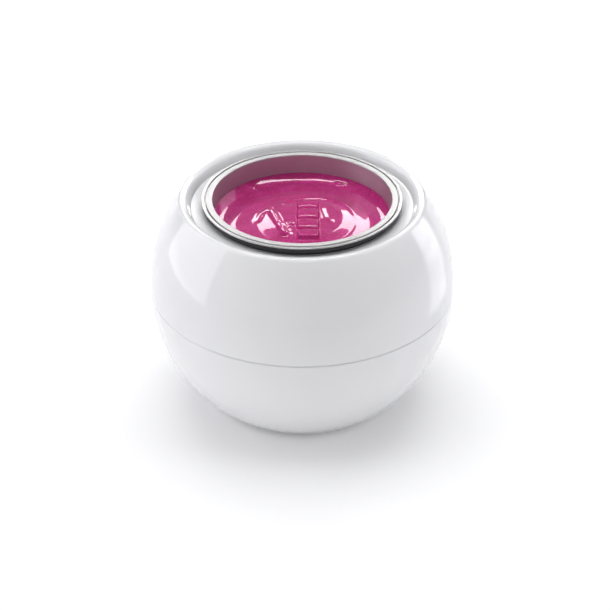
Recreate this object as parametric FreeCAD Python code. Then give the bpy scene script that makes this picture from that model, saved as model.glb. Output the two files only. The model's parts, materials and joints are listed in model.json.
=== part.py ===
"""Wax warmer: a ball-shaped casing in two halves round a heated well with a lift-out pot.

Millimetres, +Z up. The origin is on the floor under the middle of the ball, and the front faces -Y.
"""

import FreeCAD, Part
import math
import os

V = FreeCAD.Vector

# Lift-out pot
pot_radius = 34.4
pot_depth = 42.0
pot_wall = 0.6
pot_floor = 0.9
pot_corner = 5.0
draft_deg = 1.5
rim_width = 2.6
rim_thickness = 0.9
rim_round_share = 0.42

# Wax standing in the pot
wax_drop = 10.1
meniscus_rise = 2.2
meniscus_run = 3.8
meniscus_round = 7.0

# Marks of the last pour on the wax, right and away in a frame turned to the right of the front
pour_turn_deg = 21.0
pour_round = 10.0
pour_sink = 0.1
pool_foot = 27.4
pool_top = 24.2
pool_rise = 0.7
pool_right = -2.0
pool_away = -4.2
mound_foot = 18.4
mound_top = 12.5
mound_rise = 0.75
mound_right = 2.0
mound_away = -3.0
ribbon_width = 9.0
ribbon_right = 2.2
ribbon_back = 13.75
ribbon_sink = 0.4
pleat_count = 4
pleat_pitch = 7.9
pleat_rise = 1.3

# Heating well, its seal and the stud under it
well_gap = 0.3
well_wall = 0.7
well_floor = 1.0
floor_gap = 0.3
rim_gap = 0.4
bead_width = 1.2
bead_rise = 0.9
bead_lap = 0.7
bead_edge = 0.55
bead_round_share = 0.42
flange_thickness = 0.8
seal_height = 1.8
seal_thickness = 1.1
seal_gap = 0.1
seal_round = 0.2
trim_gap = 0.05
trim_thickness = 0.4
stud_radius = 2.0
stud_tail = 1.5

# Casing
wall = 2.4
lower_band = 1.45
upper_band = 0.4
seam_groove = 0.3
tongue_height = 2.0
tongue_thickness = 1.0
tongue_gap = 0.1
trough_width = 4.1
lip_flare = 2.8
lip_drop = 5.65
lip_round = 2.1
crease_round = 0.6
ledge_step = 0.3
skirt_length = 4.0
post_radius = 4.0
post_gap = 1.3
rib_thickness = 1.8
rib_lift = 1.0

# Base of the casing
foot_stand = 1.5
base_thickness = 2.6
base_round = 2.5
foot_radius = 6.0
foot_recess = 1.2
foot_gap = 0.15
foot_inset = 9.5
foot_round = 0.6
foot_count = 4
tube_radius = 4.5
tube_inset = 9.0
counterbore_depth = 10.0
vent_count = 12
vent_width = 2.0
vent_length = 8.0
vent_inset = 5.5

# Screws, nuts and boards
corner_angles_deg = (45, 135, 225, 315)
screw_radius = 1.5
head_radius = 2.8
head_height = 2.0
small_screw_radius = 1.1
small_head_radius = 2.0
small_head_height = 1.4
recess_width = 0.7
recess_depth = 0.9
recess_length_share = 1.2
thread_gap = 0.05
hole_gap = 0.2
head_gap = 0.3
chassis_screw_grip = 9.0
nut_across = 7.0
nut_height = 3.2
washer_radius = 4.6
washer_thickness = 0.8
board_thickness = 1.6

# Band heater, its strap and the heat shield
heater_rise = 8.0
heater_drop = 3.7
heater_thickness = 1.8
heater_gap = 0.1
split_width = 8.0
strap_height = 14.0
strap_thickness = 0.6
strap_gap = 0.05
ear_length = 7.0
ear_height = 10.0
ear_bolt_share = 0.55
clamp_bolt_radius = 1.5
clamp_head_radius = 2.75
clamp_head_height = 2.0
clamp_nut_across = 5.5
clamp_nut_height = 2.4
clamp_bolt_tail = 1.0
shield_gap = 1.5
shield_thickness = 0.5
shield_rise = 2.0
shield_window = 30.0

# Sensor and safety cut-out under the well
lug_thickness = 0.8
lug_radius = 4.2
lug_width = 4.0
barrel_radius = 2.0
barrel_start = 5.0
barrel_length = 8.0
under_gap = 0.1
fuse_radius = 2.0
fuse_length = 11.0
fuse_leg_radius = 0.8
fuse_leg_reach = 7.5
fuse_leg_drop = 3.6
clip_thickness = 0.5
clip_width = 5.0
clip_foot = 3.0

# Chassis plate
plate_gap = 3.2
plate_thickness = 1.5
hub_radius = 10.0
arm_width = 11.0
bush_radius = 3.5
bush_length = 4.0

# Power board and what stands on it
board_gap = 1.0
board_stand = 4.0
board_room = 23.2
edge_gap = 0.7
part_gap = 1.1
stand_radius = 3.0
stand_bore = 5.5
board_screw_inset = 3.0
relay_size = (8.0, 18.0, 12.0)
relay_round = 0.5
capacitor_size = (5.0, 10.0, 11.0)
capacitor_round = 0.8
terminal_size = (10.0, 7.4, 9.0)
terminal_pitch = 5.0
terminal_bore = 1.7
terminal_bore_depth = 1.0
connector_size = (6.0, 5.0, 6.0)

# Button, its light ring and the board behind it
button_lift_deg = 14.0
button_gap = 0.25
button_proud = 0.5
button_face = 1.8
button_hollow = 5.2
button_edge = 0.4
button_flange_lap = 0.9
button_flange_thickness = 0.8
stem_radius = 1.5
stem_length = 1.0
retain_gap = 0.2
ring_outer = 8.5
ring_inner = 6.85
ring_proud = 0.2
ring_seat = 3.2
ring_flange = 10.0
ring_flange_thickness = 1.5
ring_fit = 0.1
boss_wall = 1.6
boss_lap = 0.3
plunger_radius = 1.75
plunger_show = 1.2
plunger_inside = 0.9
plunger_gap = 0.1
plunger_well = 2.0
switch_side = 6.0
switch_height = 2.5
button_board_half = 17.5
button_board_up = 5.0
button_board_down = 14.0
pillar_radius = 2.5
pillar_place = 14.0
pillar_bore = 4.5
led_radius = 1.5
led_height = 3.5
led_place = 9.6
cable_socket_size = (8.0, 5.0, 4.0)
cable_socket_place = (13.0, 10.5)

# Mains inlet at the back
inlet_height = 25.0
inlet_recess = 3.0
pocket_width = 26.0
pocket_height = 18.6
pocket_corner = 4.0
inlet_flange_width = 23.6
inlet_flange_height = 14.6
inlet_flange_corner = 4.0
inlet_flange_thickness = 1.4
inlet_body_width = 20.4
inlet_body_height = 11.4
inlet_body_corner = 3.0
inlet_body_depth = 14.5
inlet_fit = 0.15
cavity_radius = 4.2
cavity_waist = 6.6
cavity_depth = 13.0
pin_radius = 1.2
pin_pitch = 8.6
pin_show = 9.5
pin_tail = 5.0
pin_fit = 0.02
latch_width = 6.0
latch_rise = 0.8
latch_length = 4.0
latch_gap = 0.1

# Leads
lead_radius = 1.0
band_lead_radius = 0.8
sensor_lead_radius = 1.2
cable_radius = 1.5
run_share = 0.45
end_run_share = 0.9
lead_straight = 2.0
band_lead_angles_deg = (12.0, 25.0)

# Overrun of cuts and the smallest length that counts
overrun = 1.0
tiny = 1e-6

# Power board, laid out from its parts, and the tubes round it that set the width of the base
board_half = relay_size[1] / 2 + part_gap + connector_size[1] + edge_gap
side_run = connector_size[1] + part_gap + capacitor_size[1]
part_limit = board_half - edge_gap
relay_place = (part_limit - relay_size[0] / 2, 0)
capacitor_place = (capacitor_size[0] / 2 - part_limit, (side_run - capacitor_size[1]) / 2)
sensor_connector_place = (connector_size[0] / 2 - part_limit, (connector_size[1] - side_run) / 2)
button_connector_place = (part_limit - connector_size[0] / 2, part_limit - connector_size[1] / 2)
terminal_place = part_limit - terminal_size[1] / 2
board_screw_place = board_half - board_screw_inset
tube_circle = (board_half + board_gap + tube_radius) * math.sqrt(2)
base_radius = tube_circle + tube_inset

# Heights, from the floor up
inner_floor = foot_stand + base_thickness
board_bottom = inner_floor + board_stand
board_top = board_bottom + board_thickness
plate_bottom = board_top + board_room
plate_top = plate_bottom + plate_thickness
stud_end = plate_bottom - washer_thickness - nut_height - stud_tail
tube_top = plate_bottom - bush_length
base_screw_seat = foot_stand + counterbore_depth
well_bottom = plate_top + plate_gap + nut_height + lug_thickness
well_inner_floor = well_bottom + well_floor
pot_bottom = well_inner_floor + floor_gap
pot_inner_floor = pot_bottom + pot_floor
rim_top = pot_inner_floor + pot_depth
wax_level = rim_top - wax_drop
pool_level = wax_level + pool_rise
mound_level = pool_level + mound_rise
seat_height = rim_top - rim_thickness
flange_bottom = seat_height - flange_thickness
ledge_height = flange_bottom - seal_height
lip_height = ledge_height + lip_drop
skirt_low = ledge_height - wall - skirt_length

# Mouth, from the pot outwards
slope = math.tan(math.radians(draft_deg))
rim_radius = pot_radius + rim_width
bead_inner = rim_radius + rim_gap
bead_outer = bead_inner + bead_width
flange_edge = bead_outer - bead_lap
bead_top = seat_height + bead_rise
bead_under = bead_top - bead_edge
crease_radius = bead_outer + trough_width
lip_radius = crease_radius + lip_flare

# Ball through the edge of the base and the lip, parted by a straight band with the seam in it
lip_over_band = lip_height - lower_band - upper_band
lower_centre = (lip_over_band**2 - foot_stand**2 + lip_radius**2 - base_radius**2) / (
    2 * (lip_over_band - foot_stand)
)
seam_height = lower_centre + lower_band
upper_centre = seam_height + upper_band
body_radius = math.hypot(lower_centre - foot_stand, base_radius)
inner_radius = body_radius - wall
skin_middle = body_radius - wall / 2
inner_floor_radius = math.sqrt(inner_radius**2 - (lower_centre - inner_floor) ** 2)
foot_circle = base_radius - foot_inset


def pot_inside(height):
    return pot_radius - (rim_top - height) * slope


def pot_outside(height):
    return pot_inside(height) + pot_wall


def well_inside(height):
    return pot_outside(height) + well_gap


def well_outside(height):
    return well_inside(height) + well_wall


def band_inside(height):
    return well_outside(height) + heater_gap


def band_outside(height):
    return band_inside(height) + heater_thickness


def strap_inside(height):
    return band_outside(height) + strap_gap


def strap_outside(height):
    return strap_inside(height) + strap_thickness


well_flat = well_outside(well_bottom) - pot_corner - pot_wall - well_gap - well_wall
clip_reach = fuse_radius + under_gap + clip_thickness + clip_foot
fuse_place = well_flat - clip_reach
band_low = well_bottom + heater_rise
band_high = skirt_low - heater_drop
strap_low = (band_low + band_high - strap_height) / 2
strap_high = strap_low + strap_height
seal_inner = well_outside(flange_bottom) + seal_gap
seal_outer = seal_inner + seal_thickness
trim_inner = flange_edge + trim_gap
trim_outer = trim_inner + trim_thickness
trim_low = flange_bottom - trim_thickness
ledge_hole = seal_inner + ledge_step
shield_inner = strap_outside(strap_high) + shield_gap
shield_outer = shield_inner + shield_thickness
post_circle = shield_outer + post_gap + post_radius

# Stack of the button along its own axis, zero at the casing's skin and negative inwards
button_radius = ring_inner - button_gap
button_flange_radius = ring_inner + button_flange_lap
ring_back = -(ring_seat + ring_flange_thickness)
boss_back = ring_back - boss_lap
boss_radius = ring_flange + boss_wall
button_flange_front = ring_back - retain_gap
button_flange_back = button_flange_front - button_flange_thickness
stem_end = button_flange_back - stem_length
switch_top = stem_end - plunger_show
button_board_top = switch_top - switch_height
button_board_back = button_board_top - board_thickness
button_lift = math.radians(button_lift_deg)
button_point = V(
    0,
    body_radius * math.cos(button_lift),
    upper_centre + body_radius * math.sin(button_lift),
)
button_frame = FreeCAD.Placement(button_point, FreeCAD.Rotation(V(1, 0, 0), button_lift_deg - 90))

# Planes of the inlet, from the pocket's floor
pocket_low = inlet_height - pocket_height / 2
pocket_floor = math.sqrt(body_radius**2 - (lower_centre - pocket_low) ** 2) - inlet_recess
inlet_front = pocket_floor + inlet_flange_thickness
inlet_back = pocket_floor - inlet_body_depth
cavity_floor = inlet_front - cavity_depth
pin_end = inlet_back - pin_tail


def moved(shape, x, y, z):
    copy = shape.copy()
    copy.translate(V(x, y, z))
    return copy


def spun(shape, angle_deg):
    copy = shape.copy()
    copy.rotate(V(0, 0, 0), V(0, 0, 1), angle_deg)
    return copy


def in_button_frame(shape):
    """Carry a shape built along +Z, with zero at the casing's skin, to the button's place."""
    copy = shape.copy()
    copy.Placement = button_frame.multiply(copy.Placement)
    return copy


def joined(shape, others):
    return shape.fuse(others).removeSplitter()


def disc(radius, low, high, x=0, y=0):
    return Part.makeCylinder(radius, high - low, V(x, y, low))


def rod(radius, start, end):
    along = end - start
    return Part.makeCylinder(radius, along.Length, start, along)


def block(x_low, x_high, y_low, y_high, z_low, z_high):
    return Part.makeBox(x_high - x_low, y_high - y_low, z_high - z_low, V(x_low, y_low, z_low))


def standing_block(size, x, y, z):
    """Box of a given size, centred on x and y, standing on height z."""
    width, depth, height = size
    return block(x - width / 2, x + width / 2, y - depth / 2, y + depth / 2, z, z + height)


def outline(corners):
    """Closed wire in the XZ plane through (x, z, round) corners."""
    count = len(corners)
    bends = []
    for index, (x, z, rounding) in enumerate(corners):
        here = V(x, 0, z)
        if not rounding:
            bends.append((here, None, here))
            continue
        back = V(corners[index - 1][0], 0, corners[index - 1][1]) - here
        following = corners[(index + 1) % count]
        ahead = V(following[0], 0, following[1]) - here
        back.normalize()
        ahead.normalize()
        half = back.getAngle(ahead) / 2
        reach = rounding / math.tan(half)
        inward = back + ahead
        inward.normalize()
        middle = here + inward * (rounding / math.sin(half) - rounding)
        bends.append((here + back * reach, middle, here + ahead * reach))
    edges = []
    for index, (start, middle, end) in enumerate(bends):
        if middle:
            edges.append(Part.Arc(start, middle, end).toShape())
        target = bends[(index + 1) % count][0]
        if (target - end).Length > tiny:
            edges.append(Part.LineSegment(end, target).toShape())
    return Part.Wire(edges)


def turned(corners):
    """Solid of revolution about Z from (radius, height, round) corners."""
    return Part.Face(outline(corners)).revolve(V(0, 0, 0), V(0, 0, 1), 360)


def turned_edges(edges):
    return Part.Face(Part.Wire(edges)).revolve(V(0, 0, 0), V(0, 0, 1), 360)


def upright_plate(width, height, corner, y_low, y_high, z):
    """Plate standing in XZ with rounded corners, between two depths and centred on height z."""
    right = width / 2
    top = height / 2
    corners = [(-right, -top, corner), (right, -top, corner), (right, top, corner), (-right, top, corner)]
    plate = Part.Face(outline(corners)).extrude(V(0, y_high - y_low, 0))
    return moved(plate, 0, y_low, z)


def profile_line(start, end):
    return Part.LineSegment(V(start[0], 0, start[1]), V(end[0], 0, end[1])).toShape()


def profile_arc(radius, centre_height, start, end):
    """Arc about a centre on the axis, from one (radius, height) point to another."""
    first = math.atan2(start[1] - centre_height, start[0])
    last = math.atan2(end[1] - centre_height, end[0])
    half = (first + last) / 2
    middle = V(radius * math.cos(half), 0, centre_height + radius * math.sin(half))
    return Part.Arc(V(start[0], 0, start[1]), middle, V(end[0], 0, end[1])).toShape()


def circles_at(shape, radius, height):
    found = []
    for edge in shape.Edges:
        if edge.Degenerated or not isinstance(edge.Curve, Part.Circle):
            continue
        if abs(edge.Curve.Radius - radius) < tiny and abs(edge.Curve.Center.z - height) < tiny:
            found.append(edge)
    return found


def hexagon(across, height):
    corner = across / math.sqrt(3)
    angles = [math.radians(60 * side) for side in range(7)]
    points = [V(corner * math.cos(angle), corner * math.sin(angle), 0) for angle in angles]
    return Part.Face(Part.makePolygon(points)).extrude(V(0, 0, height))


def hex_nut(across, height, bolt_radius):
    return hexagon(across, height).cut(disc(bolt_radius + thread_gap, -overrun, height + overrun))


def screw(shank_radius, length, top_radius, top_height):
    """Cross-recessed screw pointing up, with the seat of its head at zero."""
    body = joined(disc(top_radius, -top_height, 0), [disc(shank_radius, 0, length)])
    half = top_radius * recess_length_share / 2
    half_width = recess_width / 2
    floor = recess_depth - top_height
    slot = block(-half, half, -half_width, half_width, -top_height - overrun, floor)
    return body.cut([slot, spun(slot, 90)])


def lead(points, radius):
    """Round lead along straight runs joined by tangent arcs that are as wide as the runs allow."""
    places = [V(*point) for point in points]
    last = len(places) - 1
    edges = []
    start = places[0]
    for index in range(1, last):
        here = places[index]
        back = places[index - 1] - here
        ahead = places[index + 1] - here
        room_back = back.Length * (end_run_share if index == 1 else run_share)
        room_ahead = ahead.Length * (end_run_share if index == last - 1 else run_share)
        reach = min(room_back, room_ahead)
        back.normalize()
        ahead.normalize()
        half = back.getAngle(ahead) / 2
        bend = reach * math.tan(half)
        inward = back + ahead
        inward.normalize()
        middle = here + inward * (bend / math.sin(half) - bend)
        edges.append(Part.LineSegment(start, here + back * reach).toShape())
        edges.append(Part.Arc(here + back * reach, middle, here + ahead * reach).toShape())
        start = here + ahead * reach
    edges.append(Part.LineSegment(start, places[last]).toShape())
    section = Part.Wire(Part.makeCircle(radius, places[0], places[1] - places[0]))
    return Part.Wire(edges).makePipeShell([section], True, False)


def ring_of(shape, angles_deg):
    return [spun(shape, angle) for angle in angles_deg]


def even_angles(count):
    return [360 * index / count for index in range(count)]


# Pot, wax, well and seal


def wax_pot():
    rim_round = rim_round_share * rim_thickness
    return turned(
        [
            (0, pot_bottom, 0),
            (pot_outside(pot_bottom), pot_bottom, pot_corner + pot_wall),
            (pot_outside(seat_height), seat_height, 0),
            (rim_radius, seat_height, rim_round),
            (rim_radius, rim_top, rim_round),
            (pot_radius, rim_top, rim_round),
            (pot_inside(pot_inner_floor), pot_inner_floor, pot_corner),
            (0, pot_inner_floor, 0),
        ]
    )


def heap(foot, top, low, high):
    """Low turned heap from its foot up to its flat top, sunk a little into what carries it."""
    sunk_foot = foot + (foot - top) * pour_sink / (high - low)
    sunk = low - pour_sink
    return turned([(0, sunk, 0), (sunk_foot, sunk, 0), (top, high, pour_round), (0, high, 0)])


def folded_ribbon():
    """Ribbon of rounded pleats across the mound, with its valleys on the mound and its ends sunk into it."""
    places = [ribbon_back - pleat_pitch * index for index in range(pleat_count + 1)]
    flank = (mound_foot - mound_top) / mound_rise
    valleys = []
    for place in places:
        below = max(abs(place - mound_away) - mound_top, 0) / flank
        valleys.append(V(place, 0, mound_level - below))
    for end in (valleys[0], valleys[-1]):
        end.z -= ribbon_sink
    edges = []
    for start, end in zip(valleys, valleys[1:]):
        crest = (start + end) / 2 + V(0, 0, pleat_rise)
        edges.append(Part.Arc(start, crest, end).toShape())
    first = V(valleys[0].x, 0, wax_level)
    last = V(valleys[-1].x, 0, wax_level)
    for start, end in ((valleys[-1], last), (last, first), (first, valleys[0])):
        edges.append(Part.LineSegment(start, end).toShape())
    ribbon = Part.Face(Part.Wire(edges)).extrude(V(0, ribbon_width, 0))
    return spun(moved(ribbon, 0, -ribbon_right - ribbon_width / 2, 0), 90)


def wax_fill():
    edge = wax_level + meniscus_rise
    body = turned(
        [
            (0, pot_inner_floor, 0),
            (pot_inside(pot_inner_floor), pot_inner_floor, pot_corner),
            (pot_inside(edge), edge, 0),
            (pot_inside(edge) - meniscus_run, wax_level, meniscus_round),
            (0, wax_level, 0),
        ]
    )
    pool = moved(heap(pool_foot, pool_top, wax_level, pool_level), pool_right, pool_away, 0)
    mound = moved(heap(mound_foot, mound_top, pool_level, mound_level), mound_right, mound_away, 0)
    return joined(body, [spun(mark, pour_turn_deg) for mark in (pool, mound, folded_ribbon())])


def heating_well():
    bead_round = bead_round_share * bead_edge
    inner_corner = pot_corner + pot_wall + well_gap
    cup = turned(
        [
            (0, well_bottom, 0),
            (well_outside(well_bottom), well_bottom, inner_corner + well_wall),
            (well_outside(flange_bottom), flange_bottom, 0),
            (flange_edge, flange_bottom, 0),
            (flange_edge, bead_under, 0),
            (bead_outer, bead_under, bead_round),
            (bead_outer, bead_top, bead_round),
            (bead_inner, bead_top, bead_round),
            (bead_inner, seat_height, 0),
            (well_inside(seat_height), seat_height, 0),
            (well_inside(well_inner_floor), well_inner_floor, inner_corner),
            (0, well_inner_floor, 0),
        ]
    )
    return joined(cup, [disc(stud_radius, stud_end, well_bottom + well_floor / 2)])


def seal_ring():
    """Ring under the well's flange with a trim that wraps the flange's edge."""
    return turned(
        [
            (seal_inner, ledge_height, 0),
            (seal_outer, ledge_height, seal_round),
            (seal_outer, trim_low, seal_round),
            (trim_outer, trim_low, seal_round),
            (trim_outer, bead_under, 0),
            (trim_inner, bead_under, 0),
            (trim_inner, flange_bottom, 0),
            (seal_inner, flange_bottom, 0),
        ]
    )


# Casing


def upper_skin():
    """Upper half of the ball with its lip, ledge and skirt, and the rebate for the tongue."""
    run = math.hypot(lip_flare, lip_drop)
    along = (lip_flare / run, lip_drop / run)
    offset = (crease_radius + along[1] * wall, ledge_height - along[0] * wall)
    drop = offset[1] - upper_centre
    middle = offset[0] * along[0] + drop * along[1]
    beyond = offset[0] ** 2 + drop**2 - inner_radius**2
    reach = math.sqrt(middle**2 - beyond) - middle
    under_lip = (offset[0] + along[0] * reach, offset[1] + along[1] * reach)
    ledge_under = ledge_height - wall
    foot = (offset[0] - along[0] * (offset[1] - ledge_under) / along[1], ledge_under)
    rebate = inner_radius + tongue_thickness + tongue_gap
    rebate_top = seam_height + tongue_height + tongue_gap
    groove = (body_radius - seam_groove, seam_height)
    lip = (lip_radius, lip_height)
    corners = [
        lip,
        (crease_radius, ledge_height),
        (ledge_hole, ledge_height),
        (ledge_hole, skirt_low),
        (ledge_hole + wall, skirt_low),
        (ledge_hole + wall, ledge_under),
        foot,
        under_lip,
    ]
    edges = [
        profile_line(groove, (body_radius, seam_height + seam_groove)),
        profile_line((body_radius, seam_height + seam_groove), (body_radius, upper_centre)),
        profile_arc(body_radius, upper_centre, (body_radius, upper_centre), lip),
    ]
    edges += [profile_line(start, end) for start, end in zip(corners, corners[1:])]
    seam = [
        (inner_radius, upper_centre),
        (inner_radius, rebate_top),
        (rebate, rebate_top),
        (rebate, seam_height),
    ]
    if rebate_top > upper_centre:
        shoulder = inner_ball_radius(rebate_top)
        seam = [(shoulder, rebate_top), (rebate, rebate_top), (rebate, seam_height)]
    edges.append(profile_arc(inner_radius, upper_centre, under_lip, seam[0]))
    edges += [profile_line(start, end) for start, end in zip(seam, seam[1:] + [groove])]
    skin = turned_edges(edges)
    skin = skin.makeFillet(lip_round, circles_at(skin, lip_radius, lip_height))
    return skin.makeFillet(crease_round, circles_at(skin, crease_radius, ledge_height))


def inner_ball_radius(height):
    return math.sqrt(inner_radius**2 - (height - upper_centre) ** 2)


def upper_shell():
    ball = Part.makeSphere(skin_middle, V(0, 0, upper_centre))
    under = ledge_height - wall / 2
    post = disc(post_radius, plate_top, under, post_circle)
    rib_low = seam_height + tongue_height + rib_lift
    rib = block(post_circle, body_radius, -rib_thickness / 2, rib_thickness / 2, rib_low, under)
    stiff_post = joined(post, [rib]).common(ball)
    bore = disc(screw_radius + thread_gap, plate_top - overrun, plate_top + chassis_screw_grip, post_circle)

    skin_ball = Part.makeSphere(skin_middle, V(0, 0, -body_radius))
    boss = disc(boss_radius, boss_back, 0).common(skin_ball)
    pillars = []
    pillar_holes = []
    for side in (-pillar_place, pillar_place):
        pillars.append(disc(pillar_radius, button_board_top, 0, side).common(skin_ball))
        pillar_holes.append(
            disc(
                small_screw_radius + thread_gap,
                button_board_top - overrun,
                button_board_top + pillar_bore,
                side,
            )
        )
    button_hole = disc(ring_outer + ring_fit, boss_back - overrun, overrun)
    ring_rebate = disc(ring_flange + ring_fit, boss_back - overrun, -ring_seat)

    added = ring_of(stiff_post, corner_angles_deg)
    added += [in_button_frame(shape) for shape in [boss] + pillars]
    cuts = ring_of(bore, corner_angles_deg)
    cuts += [in_button_frame(shape) for shape in [button_hole, ring_rebate] + pillar_holes]
    return joined(upper_skin(), added).cut(cuts)


def lower_skin():
    """Lower half of the ball with its tongue and flat base."""
    tongue = inner_radius + tongue_thickness
    groove_low = (body_radius, seam_height - seam_groove)
    band_foot = (body_radius, lower_centre)
    base_edge = (base_radius, foot_stand)
    floor_edge = (inner_floor_radius, inner_floor)
    edges = [
        profile_line((inner_radius, seam_height + tongue_height), (tongue, seam_height + tongue_height)),
        profile_line((tongue, seam_height + tongue_height), (tongue, seam_height)),
        profile_line((tongue, seam_height), (body_radius - seam_groove, seam_height)),
        profile_line((body_radius - seam_groove, seam_height), groove_low),
        profile_line(groove_low, band_foot),
        profile_arc(body_radius, lower_centre, band_foot, base_edge),
        profile_line(base_edge, (0, foot_stand)),
        profile_line((0, foot_stand), (0, inner_floor)),
        profile_line((0, inner_floor), floor_edge),
        profile_arc(inner_radius, lower_centre, floor_edge, (inner_radius, lower_centre)),
        profile_line((inner_radius, lower_centre), (inner_radius, seam_height + tongue_height)),
    ]
    skin = turned_edges(edges)
    return skin.makeFillet(base_round, circles_at(skin, base_radius, foot_stand))


def board_places():
    place = board_screw_place
    return [(-place, -place), (place, -place), (-place, place)]


def lower_shell():
    ball = Part.makeSphere(skin_middle, V(0, 0, lower_centre))
    middle = foot_stand + base_thickness / 2
    tube = disc(tube_radius, middle, tube_top, tube_circle)
    pocket_box = block(
        -pocket_width / 2 - wall,
        pocket_width / 2 + wall,
        pocket_floor - wall,
        body_radius,
        pocket_low - wall,
        pocket_low + pocket_height + wall,
    ).common(ball)
    added = ring_of(tube, corner_angles_deg) + [pocket_box]
    added += [disc(stand_radius, middle, board_bottom, x, y) for x, y in board_places()]

    head_well = disc(head_radius + head_gap, foot_stand - overrun, base_screw_seat, tube_circle)
    screw_hole = disc(screw_radius + hole_gap, foot_stand, tube_top + overrun, tube_circle)
    cuts = ring_of(head_well, corner_angles_deg) + ring_of(screw_hole, corner_angles_deg)
    foot_pocket = disc(foot_radius + foot_gap, foot_stand - overrun, foot_stand + foot_recess, foot_circle)
    cuts += ring_of(foot_pocket, even_angles(foot_count))
    half_vent = vent_width / 2
    slot = block(
        vent_inset,
        vent_inset + vent_length,
        -half_vent,
        half_vent,
        foot_stand - overrun,
        inner_floor + overrun,
    )
    cuts += ring_of(slot, even_angles(vent_count))
    for x, y in board_places():
        bore = small_screw_radius + thread_gap
        cuts.append(disc(bore, board_bottom - stand_bore, board_bottom + overrun, x, y))
    cuts.append(
        upright_plate(
            pocket_width, pocket_height, pocket_corner, pocket_floor, body_radius + overrun, inlet_height
        )
    )
    cuts.append(
        upright_plate(
            inlet_body_width + 2 * inlet_fit,
            inlet_body_height + 2 * inlet_fit,
            inlet_body_corner + inlet_fit,
            pocket_floor - wall - overrun,
            pocket_floor + overrun,
            inlet_height,
        )
    )
    return joined(lower_skin(), added).cut(cuts)


def rubber_feet():
    foot = turned(
        [
            (0, 0, 0),
            (foot_radius, 0, foot_round),
            (foot_radius, foot_stand + foot_recess, 0),
            (0, foot_stand + foot_recess, 0),
        ]
    )
    return Part.makeCompound(ring_of(moved(foot, foot_circle, 0, 0), even_angles(foot_count)))


def base_screws():
    length = plate_top - base_screw_seat
    one = moved(screw(screw_radius, length, head_radius, head_height), tube_circle, 0, base_screw_seat)
    return Part.makeCompound(ring_of(one, corner_angles_deg))


# Heater round the well


def split_cut(low, high):
    half = split_width / 2
    return block(-half, half, -body_radius, 0, low - overrun, high + overrun)


def cone_ring(inside, outside, low, high):
    return turned(
        [(inside(low), low, 0), (outside(low), low, 0), (outside(high), high, 0), (inside(high), high, 0)]
    )


def heater_band():
    return cone_ring(band_inside, band_outside, band_low, band_high).cut(split_cut(band_low, band_high))


def ear_root():
    return math.sqrt(strap_inside(strap_high) ** 2 - (split_width / 2) ** 2)


def clamp_axis():
    """Place of the clamp screw across the two ears, as (y, z)."""
    return (-ear_root() - ear_length * ear_bolt_share, (strap_low + strap_high) / 2)


def band_clamp():
    strap = cone_ring(strap_inside, strap_outside, strap_low, strap_high)
    strap = strap.cut(split_cut(strap_low, strap_high))
    bolt_y, middle = clamp_axis()
    half = split_width / 2
    ears = []
    for side in (-half - strap_thickness, half):
        ears.append(
            block(
                side,
                side + strap_thickness,
                -ear_root() - ear_length,
                -ear_root(),
                middle - ear_height / 2,
                middle + ear_height / 2,
            )
        )
    reach = half + strap_thickness + overrun
    hole = rod(clamp_bolt_radius + hole_gap, V(-reach, bolt_y, middle), V(reach, bolt_y, middle))
    return joined(strap, ears).cut(hole)


def across_ears(shape, x):
    """Turn a shape built along +Z to run along +X on the clamp's axis, from a given x."""
    bolt_y, middle = clamp_axis()
    copy = shape.copy()
    copy.rotate(V(0, 0, 0), V(0, 1, 0), 90)
    return moved(copy, x, bolt_y, middle)


def clamp_screw():
    ear_face = split_width / 2 + strap_thickness
    length = 2 * ear_face + clamp_nut_height + clamp_bolt_tail
    bolt = screw(clamp_bolt_radius, length, clamp_head_radius, clamp_head_height)
    return across_ears(bolt, -ear_face)


def clamp_nut():
    nut = hex_nut(clamp_nut_across, clamp_nut_height, clamp_bolt_radius)
    return across_ears(nut, split_width / 2 + strap_thickness)


def heat_shield():
    high = band_high + shield_rise
    sleeve = disc(shield_outer, plate_top, high).cut(disc(shield_inner, plate_top - overrun, high + overrun))
    half = shield_window / 2
    return sleeve.cut(block(-half, half, -body_radius, 0, plate_top - overrun, high + overrun))


# Under the well


def chassis_plate():
    arm = block(0, post_circle, -arm_width / 2, arm_width / 2, plate_bottom, plate_top)
    end = disc(arm_width / 2, plate_bottom, plate_top, post_circle)
    bush = disc(bush_radius, tube_top, plate_top, tube_circle)
    hub = disc(hub_radius, plate_bottom, plate_top)
    plate = joined(hub, ring_of(joined(arm, [end, bush]), corner_angles_deg))
    post_hole = disc(screw_radius + hole_gap, plate_bottom - overrun, plate_top + overrun, post_circle)
    bush_hole = disc(screw_radius + thread_gap, tube_top - overrun, plate_top + overrun, tube_circle)
    stud_hole = disc(stud_radius + hole_gap, plate_bottom - overrun, plate_top + overrun)
    holes = ring_of(post_hole, corner_angles_deg) + ring_of(bush_hole, corner_angles_deg)
    return plate.cut(holes + [stud_hole])


def chassis_screws():
    length = plate_thickness + chassis_screw_grip - overrun
    one = moved(screw(screw_radius, length, head_radius, head_height), post_circle, 0, plate_bottom)
    return Part.makeCompound(ring_of(one, corner_angles_deg))


def stud_washer():
    low = plate_bottom - washer_thickness
    ring = disc(washer_radius, low, plate_bottom)
    return ring.cut(disc(stud_radius + hole_gap, low - overrun, plate_bottom + overrun))


def stud_nut():
    nut = hex_nut(nut_across, nut_height, stud_radius)
    return moved(nut, 0, 0, plate_bottom - washer_thickness - nut_height)


def sensor_axis():
    return well_bottom - under_gap - barrel_radius


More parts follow.
